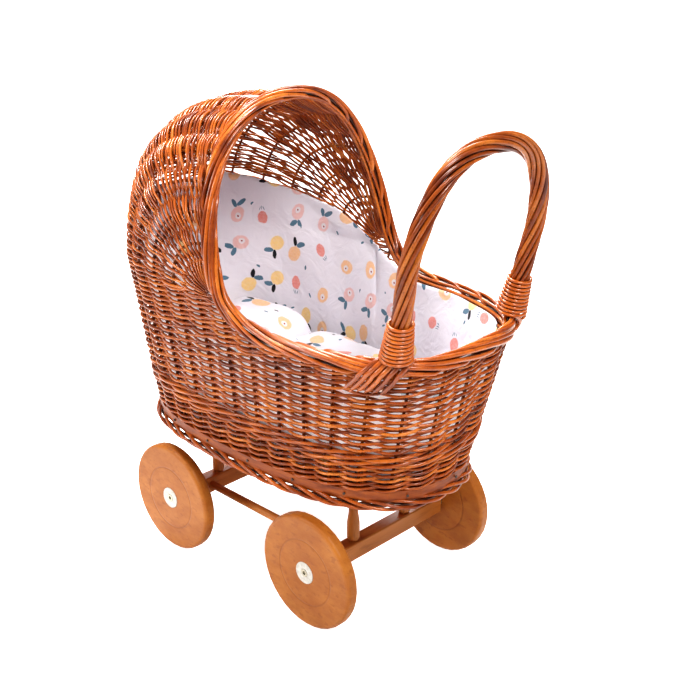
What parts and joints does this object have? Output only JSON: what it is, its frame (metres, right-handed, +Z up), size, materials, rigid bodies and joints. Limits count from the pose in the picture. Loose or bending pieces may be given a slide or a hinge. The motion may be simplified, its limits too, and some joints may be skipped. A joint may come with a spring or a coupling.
{
  "type": "doll stroller",
  "caption": "Woven willow doll pram: deep basket with a fixed arched hood, bow handle, wooden chassis with spindles and turning disc wheels, and cotton bedding.",
  "frame": {"origin": "on the floor, under the middle of the pram's outer box", "axes": "+X towards the foot end, where the handle stands; +Y to the far side; +Z up"},
  "size_m": [0.4693, 0.2674, 0.5232],
  "materials": {
    "willow": "glossy varnish",
    "board": "satin stain",
    "beech": "satin",
    "white_plastic": "smooth",
    "steel": "zinc plated",
    "cotton": "matte printed"
  },
  "bodies": {
    "pram": {"lower_weave": "willow", "wale": "willow", "side_weave": "willow", "hood_weave": "willow", "rim_border": "willow", "foot_border": "willow", "handle": "willow", "handle_binding_near": "willow", "handle_binding_far": "willow", "handle_tails_near": "willow", "handle_tails_far": "willow", "base_board": "board", "beam_hood_end": "beech", "beam_handle_end": "beech", "side_dowel_near": "beech", "side_dowel_far": "beech", "spindle_hood_end_near": "beech", "bolt_hood_end_near": "steel", "spacer_hood_end_near": "steel", "spindle_hood_end_far": "beech", "bolt_hood_end_far": "steel", "spacer_hood_end_far": "steel", "spindle_handle_end_near": "beech", "bolt_handle_end_near": "steel", "spacer_handle_end_near": "steel", "spindle_handle_end_far": "beech", "bolt_handle_end_far": "steel", "spacer_handle_end_far": "steel", "liner": "cotton", "mattress": "cotton", "pillow": "cotton", "duvet": "cotton"},
    "wheel_set_hood_end_near": {"wheel_hood_end_near": "beech", "hub_bush_hood_end_near": "white_plastic"},
    "wheel_set_hood_end_far": {"wheel_hood_end_far": "beech", "hub_bush_hood_end_far": "white_plastic"},
    "wheel_set_handle_end_near": {"wheel_handle_end_near": "beech", "hub_bush_handle_end_near": "white_plastic"},
    "wheel_set_handle_end_far": {"wheel_handle_end_far": "beech", "hub_bush_handle_end_far": "white_plastic"}
  },
  "joints": [
    {"name": "wheel_spin_hood_end_near", "type": "hinge", "parent": "pram", "child": "wheel_set_hood_end_near", "pos_m": [-0.121, -0.1043, 0.0625], "axis": [0, 1, 0], "continuous": true},
    {"name": "wheel_spin_hood_end_far", "type": "hinge", "parent": "pram", "child": "wheel_set_hood_end_far", "pos_m": [-0.121, 0.1043, 0.0625], "axis": [0, 1, 0], "continuous": true},
    {"name": "wheel_spin_handle_end_near", "type": "hinge", "parent": "pram", "child": "wheel_set_handle_end_near", "pos_m": [0.097, -0.1043, 0.0625], "axis": [0, 1, 0], "continuous": true},
    {"name": "wheel_spin_handle_end_far", "type": "hinge", "parent": "pram", "child": "wheel_set_handle_end_far", "pos_m": [0.097, 0.1043, 0.0625], "axis": [0, 1, 0], "continuous": true}
  ]
}
